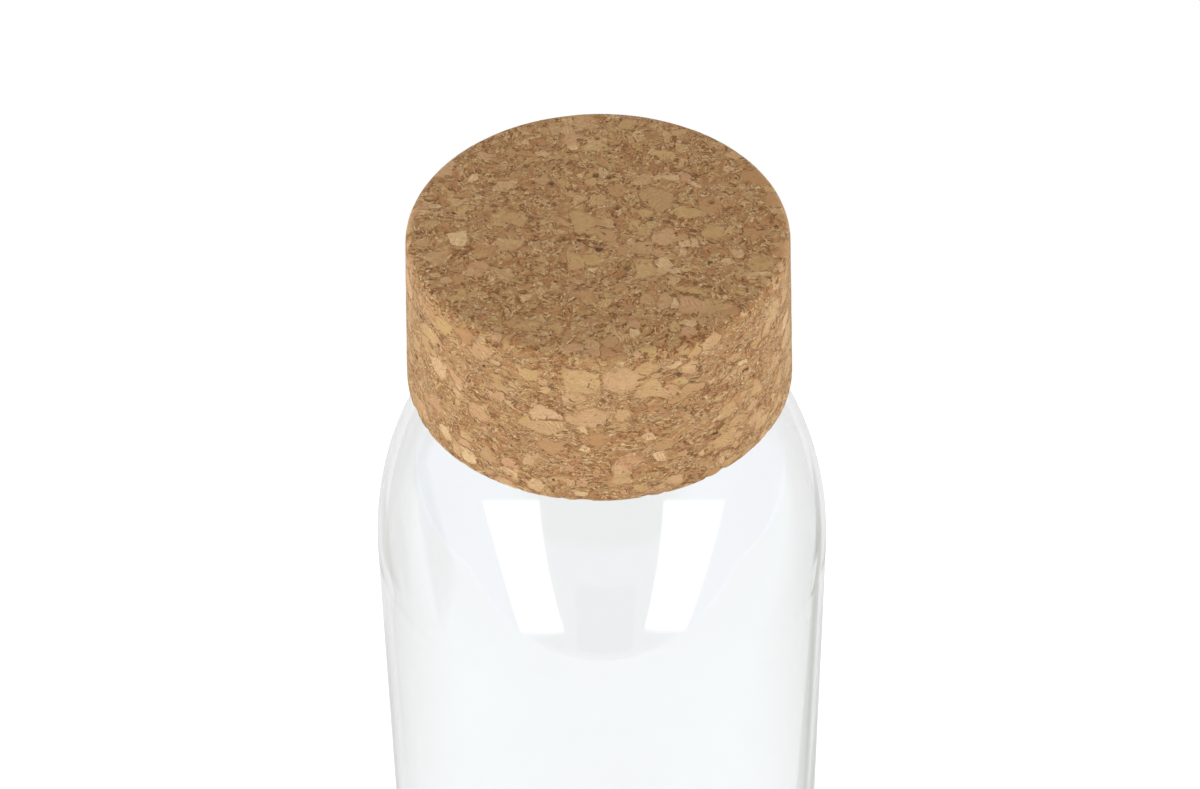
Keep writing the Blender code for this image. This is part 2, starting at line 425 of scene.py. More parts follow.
# The least that a ridge stands proud, the square that eases its root, and the shoulder's fine steps
LEAST_RIDGE = 3e-5
ROOT_EASE = 1e-8
FINE_STEPS = 4000
# What lamp light keeps on its way through the glass to the table
LAMP_THROUGH = (0.90, 0.92, 0.91)


def ridge(height, columns, foot, thread):
    """How far a thread's ridge stands out of its wall, on a grid of heights by columns.

    The ridge is a round tube along a right-hand helix. Its height over the wall is the root of
    its squared radius less the squared distance from the helix, less the sink, eased at its root.
    """
    angle = np.linspace(0.0, 1.0, columns, endpoint=False)
    proud = np.zeros((len(height), columns))
    for lap in range(math.ceil(thread.turns)):
        turn = angle + lap
        stand = eased(np.minimum(turn, thread.turns - turn) / thread.end, 0.0, 1.0)
        tube = thread.tube * (0.4 + 0.6 * stand)
        sink = thread.sink + (thread.tube / 2 - thread.sink) * (1 - stand)
        off = np.abs(height[:, None] - (foot + thread.lead * turn))
        above = np.sqrt(np.maximum(tube**2 - off**2, 0.0)) - np.maximum(off - tube, 0.0) - sink
        above = np.where(turn > thread.turns, -thread.tube, above)
        proud = np.maximum(proud, (above + np.sqrt(above**2 + ROOT_EASE)) / 2)
    return np.where(proud < LEAST_RIDGE, 0.0, proud)


def shoulder(look, radius, top, inset, neck_radius, count):
    """From the body's wall up to the neck's: a quarter ellipse inset along its normals, then a bend."""
    centre = radius - look.shoulder_run
    at_neck = math.acos((look.neck_radius - centre) / look.shoulder_run)
    base = top - look.neck_length - look.shoulder_rise * math.sin(at_neck)
    angle = np.linspace(0.0, math.pi / 2, FINE_STEPS)
    across, up = np.cos(angle), np.sin(angle)
    normal = np.stack([across / look.shoulder_run, up / look.shoulder_rise], axis=1)
    normal /= np.linalg.norm(normal, axis=1, keepdims=True)
    ellipse = np.stack([centre + look.shoulder_run * across, base + look.shoulder_rise * up], axis=1)
    ellipse -= inset * normal
    last = np.interp(-(neck_radius + look.fillet), -ellipse[:, 0], np.arange(len(angle)))
    picked = np.interp(np.linspace(0.0, last, count), np.arange(len(angle)), angle)
    curve = np.stack([np.interp(picked, angle, ellipse[:, axis]) for axis in (0, 1)], axis=1)
    corner = (neck_radius, np.interp(-neck_radius, -ellipse[:, 0], ellipse[:, 1]))
    return joined(curve, bend(curve[-1], corner, (neck_radius, corner[1] + look.fillet), 9))


def dome(floor, radius, rise, count):
    """A base from its middle out to a ring: half a cosine wave high at the axis, level at the ring."""
    share = np.linspace(0.0, 1.0, count)
    return np.stack([radius * share, floor + rise * (1 + np.cos(math.pi * share)) / 2], axis=1)


def glass_material(look):
    """Clear glass: smooth, faintly green in its depth, and letting lamp light through to the floor.

    The base colour is the tint that its surfaces leave, with painted shade: it turns to the rim tint
    by twice the fourth power of how far the surface faces away, at most 0.9, which darkens the edges
    as the dark surroundings that they refract would. The volume is what its thickness takes, so the
    edges, which light crosses lengthways, come out darker. Long, shallow waves of noise bend its
    mirror images a little.
    """
    make = painted("clear glass", look.tint)
    where = make.place()
    haze = make.noise(where, 0.013, 3.0)["Fac"].rise(0.35, 0.75)
    face = make.mix(haze * 0.5, look.tint, scaled(look.tint, 0.99))
    # Painted edge shade: the colour turns towards the rim tint where the surface is seen edge on
    turn = make.add("LayerWeight", {"Blend": 0.5})["Facing"]
    painted_edge_shade = turn * turn * turn * turn
    colour = make.mix((painted_edge_shade * 2).least(0.9), face, look.rim)
    wave = make.noise(make.vector("MULTIPLY", where, (1.0, 1.0, 0.35)), 0.021, 1.0)["Fac"]
    glass = make.shader(
        Base_Color=colour,
        Roughness=0.0,
        IOR=1.5,
        Transmission_Weight=1.0,
        Normal=make.bump(wave, 0.00003),
    )
    clear = make.add("BsdfTransparent", {"Color": opaque(LAMP_THROUGH)})["BSDF"]
    lamp = make.add("LightPath")["Is Shadow Ray"]
    both = make.add("MixShader", [lamp, glass, clear])["Shader"]
    depth = {"Color": opaque(look.depth), "Density": look.density}
    inside = make.add("VolumeAbsorption", depth)["Volume"]
    return make.output(both, Volume=inside)


class BOTTLE_OT_glass(bpy.types.Operator):
    """Makes the blown glass bottle with its threaded neck, in place of the frame's bottle"""

    bl_idname = "cork_bottle.glass"
    bl_label = "Glass bottle"

    def execute(self, context):
        look, thread = context.scene.bottle_glass, context.scene.bottle_thread
        radius, top = BOTTLE_BOX[1].x, BOTTLE_BOX[1].z
        round_off = look.heel - look.wall
        centre = radius - look.heel
        mouth = look.neck_radius - look.neck_wall
        lip = look.neck_wall / 2
        inside = joined(
            dome(look.base, centre, look.punt, 14),
            arc((centre, look.base + round_off), round_off, -90, 0, 14),
            shoulder(look, radius, top, look.wall, mouth, 44),
        )
        rim = arc((mouth + lip, top - lip), lip, 180, 0, 19)
        outer_shoulder = shoulder(look, radius, top, 0.0, look.neck_radius, 52)[::-1]
        straight = line((look.neck_radius, top - lip), outer_shoulder[0], 96)
        outside = joined(
            outer_shoulder,
            arc((centre, look.heel), look.heel, 0, -90, 18),
            dome(0.0, centre - look.foot_ring, look.punt, 14)[::-1],
        )
        profile = joined(inside, rim, straight, outside)
        across, height = spun(profile, look.columns)
        proud = ridge(profile[:, 1], look.columns, thread.neck_foot, thread)
        neck = np.abs(profile[:, 0] - look.neck_radius) < SAME_RADIUS
        across = across + np.where(neck[:, None], proud, 0.0)
        obj, _ = turned("bottle_glass", across, height, glass_material(look))
        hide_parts("glass_bottle")
        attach(obj, "bottle")
        return {"FINISHED"}


# Cork


class CorkLook(bpy.types.PropertyGroup):
    """Sizes of the turned cork cup, of its granules, and their colours."""

    taper: metres("Taper", "How much less the top's radius is", 0.0010)
    top_round: metres("Top rounding", "Radius of the top edge", 0.0015)
    foot_round: metres("Foot rounding", "Radius of the edges of the foot", 0.0006)
    wall: metres("Wall", "Thickness of the wall at its foot", 0.00455)
    roof: metres("Roof", "Thickness over the insert", 0.0048)
    columns: IntProperty(name="Columns", description="Faces round the cup", default=448, min=48)
    pits: metres("Pits", "Depth of the deepest pits", 0.00035)
    large: metres("Large granules", "Width of the largest granules", 0.0052)
    middle: metres("Middle granules", "Width of the middling granules", 0.0033)
    small: metres("Small granules", "Width of the smallest granules", 0.0019)
    crumb: metres("Crumbs", "Width of the crumbs between them", 0.00090)
    flat: amount("Flatness", "How much wider than high the granules lie", 1.45)
    pale: paint("Pale granules", "Colour of the palest granules", (0.515, 0.372, 0.196))
    tan: paint("Tan", "The cork's main colour", (0.376, 0.221, 0.096))
    red: paint("Reddish", "Colour of the reddish crumbs", (0.285, 0.128, 0.041))
    bark: paint("Bark", "Colour of the dark specks and cracks", (0.095, 0.036, 0.012))
    fuzz: paint("Fuzz", "Colour of the fine fuzz, seen edge on", (1.0, 0.84, 0.62))


def between(one, other, share):
    """The colour a share of the way from one to other."""
    return tuple(a + (b - a) * share for a, b in zip(one, other))


def random_cells(make, where, size):
    """Cells about size across: the distance to a cell's seed, over size, and its random numbers.

    There are three random numbers, as Red, Green and Blue.
    """
    cell = make.voronoi(where, size)
    return cell["Distance"], make.add("SeparateColor", [cell["Color"]])


def granules(make, where, size, share, seed):
    """One size of granules: their mask, three random numbers each, and the distance to their edge.

    Space is cut into cells about size across, a share of the cells are granules, and a granule
    ends a little short of its cell's wall and far corners, so that crumbs fill the rest.
    """
    moved = make.vector("ADD", where, (seed * 0.031, seed * 0.017, seed * 0.023))
    distance, tone = random_cells(make, moved, size)
    edge = make.walls(moved, size)
    round_off = (0.64 - distance).rise(0.0, 0.14)
    return (tone["Red"] < share) * edge.rise(0.010, 0.090) * round_off, tone, edge


def specks(make, where, size, share, small, large):
    """Round specks in a share of cells: how much of a speck is here, and three random numbers."""
    distance, chosen = random_cells(make, where, size)
    span = small + (large - small) * chosen["Green"] * chosen["Green"]
    return (chosen["Red"] < share) * (span - distance).rise(-0.04, 0.06), chosen


def cork_material(look):
    """Granulated cork: plain granules of three sizes in a fine, speckled, reddish ground.

    All patterns lie in the piece's own space, squeezed in height so that granules and crumbs lie
    flat. Noise of three sizes pushes them about: each adds its own reach times the noise less one
    half, so that crumbs curl round each other and outlines are ragged. The ground's tone is a sum
    of random cells and noise, spread about its middle and read from a ramp, with thin reddish seams
    between crumbs. Each granule takes its colour, how plain it is and the direction of its growth
    lines from its own random numbers, and fine noise mottles it. The finished colour's value is
    multiplied by three quarters plus a weighted sum of its numbers, which deepens the contrast. A
    tinted sheen stands for the fuzz that catches light at grazing angles.
    """
    make = painted("granulated cork", look.tan)
    place = make.place()
    places = [make.vector("MULTIPLY", place, (1.0, 1.0, look.flat))]
    for size, detail, reach in ((0.0050, 2.0, 0.0036), (0.0013, 1.0, 0.0006), (0.00045, 2.0, 0.0003)):
        push = make.vector("SUBTRACT", make.noise(place, size, detail)["Color"], (0.5,) * 3)
        places.append(make.vector("MULTIPLY_ADD", push, (reach,) * 3, places[-1]))
    flat, _, curled, near = places
    streak = make.vector("MULTIPLY", near, (1.0, 1.0, 1.3))
    fine = make.noise(streak, 0.00030, 2.0, 0.6)["Fac"]
    fibre = make.noise(streak, 0.0011, 2.0)["Fac"]
    cloud = make.noise(flat, 0.0052, 2.0)["Fac"]
    mottle = make.noise(streak, 0.00062, 1.0)["Fac"]
    pale, tan, red, bark = look.pale, look.tan, look.red, look.bark
    green = scaled(tan, 1.12, 1.24, 1.12)
    rust = scaled(tan, 1.00, 0.80, 0.72)
    pink = scaled(tan, 1.17, 1.10, 1.36)

    # Ground: crumbs and dust, with seams between them
    grit = look.crumb * 0.45
    _, crumb = random_cells(make, near, look.crumb)
    _, dust = random_cells(make, streak, grit)
    tone = crumb["Red"] * 0.26 + dust["Red"] * 0.46 + fine * 0.80 + fibre * 0.50 + cloud * 0.65
    tone = (tone - 1.335) * 2.3 + 0.51
    ground_stops = [
        (0.06, between(red, bark, 0.40)),
        (0.26, red),
        (0.50, tan),
        (0.70, between(tan, pale, 0.32)),
        (0.96, between(tan, pale, 0.70)),
    ]
    ground = make.add("ValToRGB", [tone], stops=ground_stops)["Color"]
    ground = make.mix((crumb["Green"] > 0.76) * 0.60, ground, green)
    ground = make.mix((crumb["Green"] < 0.26) * 0.65, ground, rust)
    ground = make.mix((dust["Green"] < 0.22) * 0.55, ground, rust)
    seam = make.walls(near, look.crumb).rise(0.150, 0.030)
    seam = seam * fibre.rise(0.40, 0.58)
    fleck = make.walls(streak, grit).rise(0.20, 0.04)
    seams = (seam * 0.55).most(fleck * cloud.rise(0.35, 0.60) * 0.40)
    ground = make.mix(seams, ground, between(red, bark, 0.15))

    # Granules: three sizes, with colours from tan to pale, some pinkish and some greenish
    granule_stops = [
        (0.00, between(tan, rust, 0.70)),
        (0.20, between(tan, pale, 0.12)),
        (0.40, green),
        (0.60, between(tan, pale, 0.50)),
        (0.80, pink),
        (1.00, between(tan, pale, 1.15)),
    ]
    nothing = dust["Blue"] * 0.0
    colour, cover, cracks, raised = ground, nothing, nothing, tone * 0.5
    for size, share, seed, gap in (
        (look.small, 0.20, 5, 0.00036),
        (look.middle, 0.20, 3, 0.00042),
        (look.large, 0.18, 11, 0.00048),
    ):
        mask, own_tone, edge = granules(make, near, size, share, seed)
        own = make.add("ValToRGB", [own_tone["Green"]], stops=granule_stops)["Color"]
        turn = make.add("CombineColor", [own_tone["Blue"], own_tone["Green"], 0.75])["Color"]
        lie = make.vector("NORMALIZE", make.vector("SUBTRACT", turn, (0.5, 0.5, 0.5)))
        lines = (make.dot(lie, curled) * (2 * math.pi / gap) + fibre * 5.0).sine().rise(-0.2, 1.0)
        lines = lines * own_tone["Blue"].rise(0.50, 0.75)
        own = make.mix(lines * 0.65, own, between(tan, red, 0.45))
        own = make.mix(mottle.rise(0.44, 0.66) * 0.34, own, between(tan, red, 0.40))
        own = make.mix(fine.rise(0.48, 0.72) * 0.50, own, between(tan, red, 0.50))
        own = make.mix(cloud.rise(0.40, 0.65) * 0.25, own, tan)
        plain = mask * (0.58 + 0.36 * own_tone["Blue"].rise(0.0, 0.6))
        rim = edge.rise(0.055, 0.008) * (own_tone["Red"] < share)
        split = rim * fibre.rise(0.54, 0.62)
        colour = make.mix(plain, colour, own)
        colour = make.mix(split * 0.60, colour, between(red, bark, 0.55))
        cover = cover.most(mask)
        cracks = (cracks * (1 - mask)).most(split)
        raised = raised * (1 - mask) + mask * (0.55 - 0.12 * lines)

    # Short dark cracks, bark specks large and small, and pale dots
    crack = make.walls(near, 0.0031).rise(0.045, 0.012)
    crack = crack * make.noise(flat, 0.0022, 1.0)["Fac"].rise(0.62, 0.67)
    cracks = cracks.most(crack)
    colour = make.mix(crack * 0.70, colour, between(red, bark, 0.75))
    bits, chosen = specks(make, near, 0.0023, 0.10, 0.08, 0.24)
    colour = make.mix(bits * (0.60 + 0.40 * chosen["Blue"]), colour, scaled(bark, 0.8))
    dots, chosen = specks(make, near, 0.00064, 0.38, 0.20, 0.44)
    dots = dots * (1 - cover * 0.60)
    colour = make.mix(dots * (0.55 + 0.45 * chosen["Blue"]), colour, between(red, bark, 0.60))
    motes, chosen = specks(make, streak, 0.00068, 0.09, 0.16, 0.36)
    motes = motes * (1 - cover * 0.75)
    colour = make.mix(motes * (0.45 + 0.50 * chosen["Blue"]), colour, pale)
    # Painted shade: the pits and the chips at the foot darken towards the bark's colour
    pit = make.add("Attribute", attribute_name="pit")["Fac"]
    colour = make.mix(pit * 0.60, colour, between(red, bark, 0.7))
    depth = 0.75 + make.dot(colour, (0.40, 0.60, 0.10))
    colour = make.add("HueSaturation", {"Value": depth, "Color": colour})["Color"]
    height = raised + fine * 0.45 - seams * 0.5 - cracks * 0.5 - bits * 0.6 - dots * 0.4
    body = make.shader(
        Base_Color=colour,
        Roughness=0.92 - 0.12 * raised,
        Specular_IOR_Level=0.14,
        Sheen_Weight=0.30,
        Sheen_Roughness=0.30,
        Sheen_Tint=opaque(look.fuzz),
        Normal=make.bump(height, 0.00012),
    )
    return make.output(body)


def cork_relief(points, look, foot, outer):
    """How far the turned surface lies below its profile at each point, and the painted shade of its pits.

    A share of 2 mm grains has fallen out and left a hollow that is deepest at the grain's middle.
    Grains of the middle size lie up to 0.04 mm deeper than others. Along the foot's outer edge,
    smooth noise over a threshold has broken small chips away. The hollows take painted shade, and
    the chips four tenths as much.
    """
    squeezed = points * (1.0, 1.0, look.flat)
    distance, number = grains(squeezed, 0.0021, 5)
    pit = np.where(number < 0.085, eased(distance, 0.34, 0.10), 0.0)
    _, level = grains(squeezed, look.middle, 23)
    edge = eased(points[..., 2] - foot, 0.0016, 0.0002)
    edge *= eased(np.hypot(points[..., 0], points[..., 1]), outer - 0.0014, outer - 0.0006)
    chip = eased(swell(points, 0.0009, 41), 0.55, 0.85) * edge
    return pit * look.pits + level * 0.00004 + chip * 0.00022, np.maximum(pit, 0.4 * chip)


class BOTTLE_OT_cork(bpy.types.Operator):
    """Makes the granulated cork cup of the lid, in place of the frame's cork"""

    bl_idname = "cork_bottle.cork"
    bl_label = "Cork lid"

    def execute(self, context):
        look = context.scene.bottle_cork
        foot, top = CORK_BOX[0].z, CORK_BOX[1].z
        outer, bore = CORK_BOX[1].x, CORK_BOX[1].x - look.wall
        upper, ceiling = outer - look.taper, top - look.roof
        lean = math.atan2(look.taper, top - foot)
        edge, toe = look.top_round, look.foot_round
        turn_off = edge * math.tan(math.pi / 4 - lean / 2)
        crown = arc((upper - turn_off, top - edge), edge, 90, math.degrees(lean), 10)
        toe_off = toe * math.tan(math.pi / 4 + lean / 2)
        heel = arc((outer - toe_off, foot + toe), toe, math.degrees(lean), -90, 7)
        skin = joined(line((0.0, top), crown[0], 76), crown, line(crown[-1], heel[0], 66), heel)
        sole = joined(heel[-1:], arc((bore + toe, foot + toe), toe, -90, -180, 6))
        sole = joined(line(heel[-1], sole[1], 10), sole[1:])
        hollow = joined(line(sole[-1], (bore, ceiling), 16), line((bore, ceiling), (0.0, ceiling), 8))
        profile = joined(skin, sole, hollow)
        bare = np.arange(len(profile)) < len(skin) + 8
        normal = outward(profile)
        radius, height = spun(profile, look.columns)
        depth, pit = cork_relief(placed(radius, height), look, foot, outer)
        shown = bare[:, None] * (np.arange(len(profile)) > 0)[:, None]
        depth, pit = depth * shown, pit * shown
        radius = radius - depth * normal[:, 0, None]
        height = height - depth * normal[:, 1, None]
        obj, used = turned("cork_lid", radius, height, cork_material(look))
        # Each point's share of painted shade in the pits and chips, for the material
        marks = obj.data.attributes.new("pit", "FLOAT", "POINT")
        marks.data.foreach_set("value", pit.reshape(-1)[used].astype(np.float32))
        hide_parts("cork_cap")
        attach(obj, "lid")
        return {"FINISHED"}


# Insert and seal


class LidLook(bpy.types.PropertyGroup):
    """Sizes and colours of the lid's plastic insert and silicone seal."""

    wall: metres("Insert wall", "Thickness of the insert's wall and roof", 0.0015)
    rounding: metres("Insert rounding", "Radius of the insert's edges", 0.0004)
    seal_inner: metres("Seal bore", "Inner radius of the seal", 0.0174)
    seal_round: metres("Seal rounding", "Radius of the seal's edges", 0.0003)
    plastic: paint("Plastic", "Colour of the insert", (0.70, 0.69, 0.64))
    silicone: paint("Silicone", "Colour of the seal", (0.76, 0.76, 0.73))


INSERT_COLUMNS, SEAL_COLUMNS = 224, 192
# The moulding mark under the insert's ceiling: its radius, its flank's two radii, and its depth
GATE_RADIUS, GATE_FLANK, GATE_DEPTH = 0.0030, (0.0012, 0.0020), 0.00025
# The groove that the rim has pressed into the seal: its radius, half width and depth
GROOVE_RADIUS, GROOVE_WIDTH, GROOVE_DEPTH = 0.0199, 0.0007, 0.00012


def plastic_material(look):
    """Moulded plastic: nearly even, with a fine matt grain and faint flow marks round the axis."""
    make = painted("insert plastic", look.plastic)
    place = make.place()
    flow = make.noise(make.vector("MULTIPLY", place, (1.0, 1.0, 0.25)), 0.009, 3.0)["Fac"]
    grain = make.noise(place, 0.00022, 2.0)["Fac"]
    plain = look.plastic
    warm = scaled(plain, 0.95, 0.93, 0.88)
    body = make.shader(
        Base_Color=make.mix(flow.rise(0.35, 0.70) * 0.6, plain, warm),
        Roughness=0.38 + 0.12 * flow,
        Specular_IOR_Level=0.45,
        Normal=make.bump(grain, 0.00002),
    )
    return make.output(body)


def silicone_material(look):
    """Soft silicone: milky, with a velvety surface that dust clings to."""
    make = painted("silicone", look.silicone)
    place = make.place()
    dust = make.noise(place, 0.0016, 4.0, 0.6)["Fac"].rise(0.45, 0.75)
    plain = look.silicone
    body = make.shader(
        Base_Color=make.mix(dust * 0.35, plain, scaled(plain, 0.90)),
        Roughness=0.42 + 0.20 * dust,
        Subsurface_Weight=0.25,
        Subsurface_Scale=0.0015,
        Sheen_Weight=0.08,
        Normal=make.bump(dust, 0.000015),
    )
    return make.output(body)


class BOTTLE_OT_insert(bpy.types.Operator):
    """Makes the threaded plastic cup inside the cork, in place of the frame's insert"""

    bl_idname = "cork_bottle.insert"
    bl_label = "Threaded insert"

    def execute(self, context):
        look, thread = context.scene.bottle_lid, context.scene.bottle_thread
        foot, top, outer = INSERT_BOX[0].z, INSERT_BOX[1].z, INSERT_BOX[1].x
        bore, ceiling, soft = outer - look.wall, top - look.wall, look.rounding
        gate = line((0.0, ceiling), (GATE_RADIUS, ceiling), 10)
        gate[:, 1] += GATE_DEPTH * (1 - eased(gate[:, 0], *GATE_FLANK))
        profile = joined(
            line((0.0, top), (outer - soft, top), 24),
            arc((outer - soft, top - soft), soft, 90, 0, 7),
            line((outer, top - soft), (outer, foot + soft), 8),
            arc((outer - soft, foot + soft), soft, 0, -90, 7),
            arc((bore + soft, foot + soft), soft, -90, -180, 7),
            line((bore, foot + soft), (bore, ceiling - soft), 110),
            arc((bore - soft, ceiling - soft), soft, 0, 90, 6),
            line((bore - soft, ceiling), (GATE_RADIUS, ceiling), 12),
            gate[::-1],
        )
        radius, height = spun(profile, INSERT_COLUMNS)
        inner = np.abs(profile[:, 0] - bore) < SAME_RADIUS
        proud = ridge(profile[:, 1], INSERT_COLUMNS, thread.neck_foot - thread.drop, thread)
        radius = radius - np.where(inner[:, None], proud, 0.0)
        obj, _ = turned("lid_insert", radius, height, plastic_material(look))
        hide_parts("threaded_insert")
        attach(obj, "lid")
        return {"FINISHED"}


class BOTTLE_OT_seal(bpy.types.Operator):
    """Makes the silicone ring that seals on the rim, in place of the frame's gasket"""

    bl_idname = "cork_bottle.seal"
    bl_label = "Seal ring"

    def execute(self, context):
        look = context.scene.bottle_lid
        low, high, outer = SEAL_BOX[0].z, SEAL_BOX[1].z, SEAL_BOX[1].x
        inner, soft = look.seal_inner, look.seal_round
        track = line((outer - soft, low), (inner + soft, low), 60)
        worn = np.exp(-(((track[:, 0] - GROOVE_RADIUS) / GROOVE_WIDTH) ** 2))
        track[:, 1] += GROOVE_DEPTH * worn
        profile = joined(
            arc((inner + soft, high - soft), soft, 180, 90, 7),
            line((inner + soft, high), (outer - soft, high), 16),
            arc((outer - soft, high - soft), soft, 90, 0, 7),
            arc((outer - soft, low + soft), soft, 0, -90, 7),
            track,
            arc((inner + soft, low + soft), soft, -90, -180, 7),
        )
        radius, height = spun(profile, SEAL_COLUMNS)
        obj, _ = turned("seal_ring", radius, height, silicone_material(look), closed=True)
        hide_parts("seal_gasket")
        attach(obj, "seal")
        return {"FINISHED"}


# Stage


class StageLook(bpy.types.PropertyGroup):
    """The pale table, the lights on it and in mirrors, and the camera."""

    table: paint("Table", "Colour of the table", (0.80, 0.80, 0.80))
    front: metres("Front edge", "How far the table reaches before the bottle", 0.30)
    reach: metres("Reach", "How far the table reaches to the sides and back", 0.70)
    ambient: amount("Ambient", "Light of the room on matt surfaces", 0.80)
    lamp: amount("Lamp power", "Power of each lamp on matt surfaces", 5.5)
    shine: paint("Table shine", "Colour of the table's front as glass mirrors it", (1.50, 1.57, 1.66))
    glow: amount("Softbox glow", "Brightness of a softbox as glass mirrors it", 6.0)
    dark: paint("Dark of the room", "Colour of the room high over the camera, in mirrors", (0.01, 0.01, 0.01))
    sides: paint("Sides of the room", "Colour of the room to left and right, in mirrors", (1.70, 1.80, 2.45))
    middle: paint(
        "Middle of the room", "Colour of the room behind the camera, in mirrors", (0.72, 0.70, 1.00)
    )
    distance: metres("Camera distance", "From the lid's top to the camera", 0.5094)
    height_angle: degrees("Camera height", "Elevation of the camera over the lid", 40.04)
    pitch: degrees("Camera pitch", "How far the camera looks down", 42.72)
    roll: degrees("Camera roll", "Turn about the line of sight", -0.804)
    focal_pixels: amount("Focal length", "In pixels of the photograph", 3528.7)


# Each card that the glass mirrors: rows of a left and a right corner, from its top to its foot
SOFTBOXES = {
    "left": (
        ((-1.032, -0.339, 0.463), (-0.585, -0.693, 0.839)),
        ((-0.883, -0.701, 0.120), (-0.501, -1.004, 0.301)),
        ((-0.625, -0.800, -0.330), (-0.287, -1.010, -0.256)),
    ),
    "right": (
        ((0.582, -0.708, 0.825), (1.049, -0.329, 0.411)),
        ((0.499, -1.007, 0.289), (0.903, -0.670, 0.078)),
        ((0.309, -1.005, -0.252), (0.617, -0.807, -0.329)),
    ),
}
CAMERA_CARD = (
    ((-0.253, -1.102, 0.152), (0.304, -1.089, 0.138)),
    ((-0.209, -0.985, -0.352), (0.230, -0.976, -0.359)),
)
# Plots of grey slats on the table behind the bottle, which the glass's edges gather into thin lines:
# a far and a near row of a left and a right corner, and their colour
FLAGS = {
    "near": (
        (((0.121, 0.160, 0.001), (0.147, 0.134, 0.001)), ((0.066, 0.050, 0.001), (0.092, 0.024, 0.001))),
        (0.50, 0.52, 0.47),
    ),
    "far": (
        (((0.138, 0.222, 0.002), (0.180, 0.180, 0.002)), ((0.119, 0.138, 0.002), (0.161, 0.096, 0.002))),
        (0.34, 0.35, 0.31),
    ),
    "left": (
        (((-0.182, 0.151, 0.001), (-0.118, 0.215, 0.001)), ((-0.176, 0.071, 0.001), (-0.112, 0.135, 0.001))),
        (0.70, 0.69, 0.66),
    ),
}
SLAT_SPACING, SLAT_OVERLAP, SLAT_HEIGHT = 0.0034, 1.15, 0.005
# How far a slat leans, over its height: towards the middle, and towards the camera
SLAT_LEAN = (0.40, 0.90)
ROOM_RADIUS = 1.6
# Shares of that radius over which the room's white back, its middle and its dark come in
ROOM_BACK, ROOM_MIDDLE, ROOM_HIGH = (0.20, 0.65), (0.75, 0.35), (0.30, 0.44)
# What the camera sees added to the table, to lift it to the white of the background
TABLE_LIFT = (0.55, 0.55, 0.55)
# Distances from the axis over which the table fades to white, and Y over which its front ends
TABLE_FADE, TABLE_FRONT = (0.14, 0.24), (0.10, -0.10)
# Distance to the side from which the front's end slopes back, and its slope
FRONT_SIDE, FRONT_SLOPE = 0.22, 0.6
CAMERA_CARD_LIGHT = (0.06, 0.04, 0.45)
LAMP_WIDTH, LAMP_HEIGHT, LAMP_COLOUR = 0.50, 0.80, (0.98, 1.0, 1.03)
# Each lamp that lights matt surfaces: centre, and its share of the lamp power
LAMPS = {"left": ((-0.72, -0.36, 0.26), 1.12), "right": ((0.72, -0.36, 0.26), 0.97)}


def card_material(name, light, soft_edge, back=1.0):
    """A card as glass mirrors it: a plain light of one colour over its middle, and clear at its edges.

    Its cover is 1 at the middle and falls smoothly to 0 over soft_edge, the share of the half
    width, and of the half height, next to the edge. Both run from -1 to 1 in the UV map. Its back
    has the share back of the cover.
    """
    make = painted(name, light)
    along = make.add("SeparateXYZ", [make.add("UVMap")["UV"]])
    inside = [1 - (along[axis] * 2 - 1).size() for axis in "XY"]
    cover = inside[0].rise(0.0, soft_edge) * inside[1].rise(0.0, soft_edge)
    cover = cover * (1 - make.add("NewGeometry")["Backfacing"] * (1 - back))
    clear = make.add("BsdfTransparent")["BSDF"]
    both = make.add("MixShader", [cover, clear, make.glow(light)])["Shader"]
    return make.output(both)


def room_material(look):
    """The room round the bottle as glass mirrors it: pale at the sides, and dark high over the camera.

    A place's share of the room's radius says how far each colour comes in: from the sides' to white
    by its Y, then to the middle's where X is near 0, and there to the dark by its Z.
    """
    make = painted("room", look.sides)
    along = make.add("SeparateXYZ", [make.place()])
    middle = (along["X"] / ROOM_RADIUS).size().rise(*ROOM_MIDDLE)
    high = (along["Z"] / ROOM_RADIUS).rise(*ROOM_HIGH)
    around = make.mix((along["Y"] / ROOM_RADIUS).rise(*ROOM_BACK), look.sides, WHITE)
    colour = make.mix(middle * high, make.mix(middle, around, look.middle), look.dark)
    return make.output(make.glow(colour))


def mirrored_only(obj):
    """Keeps a stage object out of sight except in what glass and plastic mirror."""
    obj.visible_camera = obj.visible_diffuse = obj.visible_transmission = False
    obj.visible_shadow = obj.visible_volume_scatter = False


def map_uv(obj, places):
    """Gives each face corner its place in a UV map."""
    layer = obj.data.uv_layers.new(name="UVMap")
    layer.data.foreach_set("uv", places.reshape(-1).astype(np.float32))


def panel(name, points, material):
    """A surface through a grid of points, one quad between each four neighbours.

    Its UV map runs from 0 to 1 along the grid's columns and rows.
    """
    rows, columns = points.shape[:2]
    number = np.arange(rows * columns).reshape(rows, columns)
    quads = [number[:-1, :-1], number[1:, :-1], number[1:, 1:], number[:-1, 1:]]
    corners = np.stack(quads, axis=-1).reshape(-1)
    lengths = np.full(len(corners) // 4, 4)
    obj = surface(name, points.reshape(-1, 3), corners, lengths, material)
    share = np.stack([corners % columns / (columns - 1), corners // columns / (rows - 1)], axis=1)
    map_uv(obj, share)
    return obj


def add_card(name, rows, material):
    """A card for the glass to mirror, through its rows of a left and a right corner.

    Down the card its edges run straight between two rows and as a parabola through three.
    """
    share = np.linspace(0.0, 1.0, 9)[:, None]
    weights = [1 - share, share]
    if len(rows) == 3:
        weights = [(1 - share) * (1 - 2 * share), 4 * share * (1 - share), share * (2 * share - 1)]
    edges = np.tensordot(np.concatenate(weights, axis=1), np.array(rows), axes=1)
    mirrored_only(panel(name, edges[:, None, 0] * (1 - share) + edges[:, None, 1] * share, material))


